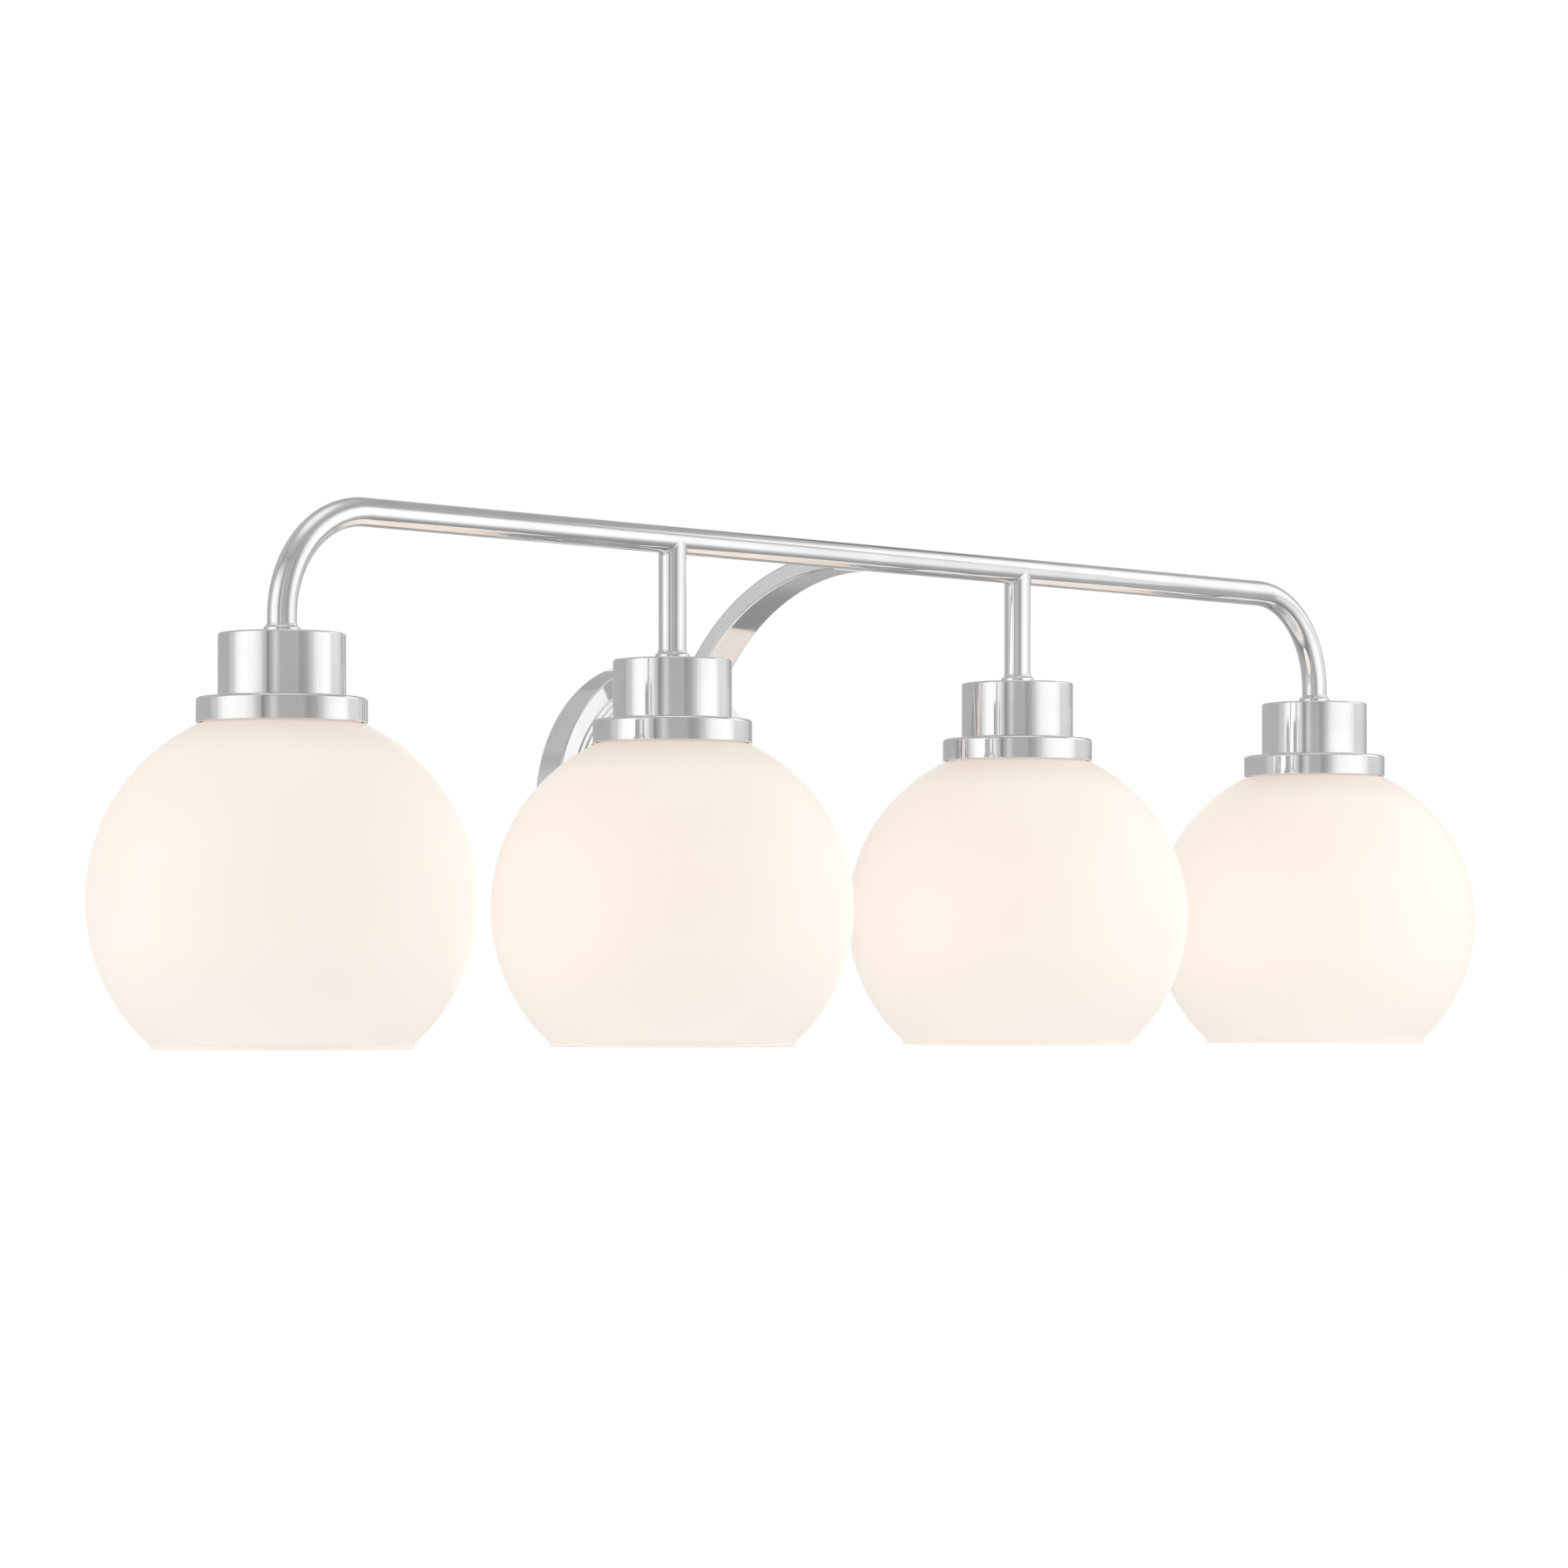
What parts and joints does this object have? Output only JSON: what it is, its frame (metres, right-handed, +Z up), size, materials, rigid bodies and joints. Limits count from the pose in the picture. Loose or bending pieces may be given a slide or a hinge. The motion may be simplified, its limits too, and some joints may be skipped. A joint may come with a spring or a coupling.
{
  "type": "vanity light bar",
  "caption": "Chrome vanity light bar: a bent tube on a curved arm and stepped round wall plate carries opal glass globes, open at the bottom, under stepped socket cups.",
  "frame": {"origin": "centre of the mounting bracket's back face, in the plane of the wall and on the wall plate's axis", "axes": "+X along the bar to the right as seen from the room, +Y into the wall, +Z up"},
  "size_m": [0.8336, 0.2122, 0.2259],
  "materials": {
    "chrome": "polished plating",
    "opal_glass": "satin etched opal",
    "bulb_glass": "soft white coating",
    "porcelain": "glazed",
    "brass": "drawn",
    "white_phenolic": "moulded",
    "zinc_steel": "zinc plated",
    "green_steel": "green passivated",
    "lead_sheath": "braided sleeve",
    "orange_plastic": "moulded",
    "black_rubber": "moulded"
  },
  "bodies": {
    "root": {"wall_plate": "chrome", "mounting_bracket": "zinc_steel", "lead_grommet": "black_rubber", "mounting_stud_left": "zinc_steel", "stud_nut_left": "zinc_steel", "cap_nut_left": "chrome", "mounting_stud_right": "zinc_steel", "stud_nut_right": "zinc_steel", "cap_nut_right": "chrome", "ground_screw": "green_steel", "curved_arm": "chrome", "arm_screw_upper": "zinc_steel", "arm_screw_lower": "zinc_steel", "bar_tube": "chrome", "middle_stem_left": "chrome", "middle_stem_right": "chrome", "stem_collar_1": "chrome", "stem_nipple_1": "zinc_steel", "socket_cup_1": "chrome", "shade_holder_1": "chrome", "lamp_socket_1": "porcelain", "screw_shell_1": "brass", "lead_1": "lead_sheath", "stem_collar_2": "chrome", "stem_nipple_2": "zinc_steel", "socket_cup_2": "chrome", "shade_holder_2": "chrome", "lamp_socket_2": "porcelain", "screw_shell_2": "brass", "lead_2": "lead_sheath", "stem_collar_3": "chrome", "stem_nipple_3": "zinc_steel", "socket_cup_3": "chrome", "shade_holder_3": "chrome", "lamp_socket_3": "porcelain", "screw_shell_3": "brass", "lead_3": "lead_sheath", "stem_collar_4": "chrome", "stem_nipple_4": "zinc_steel", "socket_cup_4": "chrome", "shade_holder_4": "chrome", "lamp_socket_4": "porcelain", "screw_shell_4": "brass", "lead_4": "lead_sheath", "wire_nut_left": "orange_plastic", "wire_nut_right": "orange_plastic"},
    "bulb_1": {"bulb_1": "bulb_glass"},
    "shade_1": {"glass_shade_1": "opal_glass"},
    "ring_1": {"retaining_ring_1": "white_phenolic"},
    "bulb_2": {"bulb_2": "bulb_glass"},
    "shade_2": {"glass_shade_2": "opal_glass"},
    "ring_2": {"retaining_ring_2": "white_phenolic"},
    "bulb_3": {"bulb_3": "bulb_glass"},
    "shade_3": {"glass_shade_3": "opal_glass"},
    "ring_3": {"retaining_ring_3": "white_phenolic"},
    "bulb_4": {"bulb_4": "bulb_glass"},
    "shade_4": {"glass_shade_4": "opal_glass"},
    "ring_4": {"retaining_ring_4": "white_phenolic"}
  },
  "joints": [
    {"name": "bulb_1_withdraw", "type": "slide", "parent": "root", "child": "bulb_1", "axis": [0, 0, -1], "range_m": [0, 0.16]},
    {"name": "bulb_2_withdraw", "type": "slide", "parent": "root", "child": "bulb_2", "axis": [0, 0, -1], "range_m": [0, 0.16]},
    {"name": "bulb_3_withdraw", "type": "slide", "parent": "root", "child": "bulb_3", "axis": [0, 0, -1], "range_m": [0, 0.16]},
    {"name": "bulb_4_withdraw", "type": "slide", "parent": "root", "child": "bulb_4", "axis": [0, 0, -1], "range_m": [0, 0.16]},
    {"name": "shade_1_lower", "type": "slide", "parent": "root", "child": "shade_1", "axis": [0, 0, -1], "range_m": [0, 0.009]},
    {"name": "ring_1_unscrew", "type": "hinge", "parent": "shade_1", "child": "ring_1", "pos_m": [-0.338, -0.1334, 0.0256], "axis": [0, 0, -1], "range_deg": [0, 1080]},
    {"name": "shade_2_lower", "type": "slide", "parent": "root", "child": "shade_2", "axis": [0, 0, -1], "range_m": [0, 0.009]},
    {"name": "ring_2_unscrew", "type": "hinge", "parent": "shade_2", "child": "ring_2", "pos_m": [-0.114, -0.1334, 0.0256], "axis": [0, 0, -1], "range_deg": [0, 1080]},
    {"name": "shade_3_lower", "type": "slide", "parent": "root", "child": "shade_3", "axis": [0, 0, -1], "range_m": [0, 0.009]},
    {"name": "ring_3_unscrew", "type": "hinge", "parent": "shade_3", "child": "ring_3", "pos_m": [0.114, -0.1334, 0.0256], "axis": [0, 0, -1], "range_deg": [0, 1080]},
    {"name": "shade_4_lower", "type": "slide", "parent": "root", "child": "shade_4", "axis": [0, 0, -1], "range_m": [0, 0.009]},
    {"name": "ring_4_unscrew", "type": "hinge", "parent": "shade_4", "child": "ring_4", "pos_m": [0.338, -0.1334, 0.0256], "axis": [0, 0, -1], "range_deg": [0, 1080]}
  ],
  "couplings": [
    {"joint": "ring_1_unscrew", "follows": "shade_1_lower", "rad_per_m": 2094.4},
    {"joint": "ring_2_unscrew", "follows": "shade_2_lower", "rad_per_m": 2094.4},
    {"joint": "ring_3_unscrew", "follows": "shade_3_lower", "rad_per_m": 2094.4},
    {"joint": "ring_4_unscrew", "follows": "shade_4_lower", "rad_per_m": 2094.4}
  ]
}
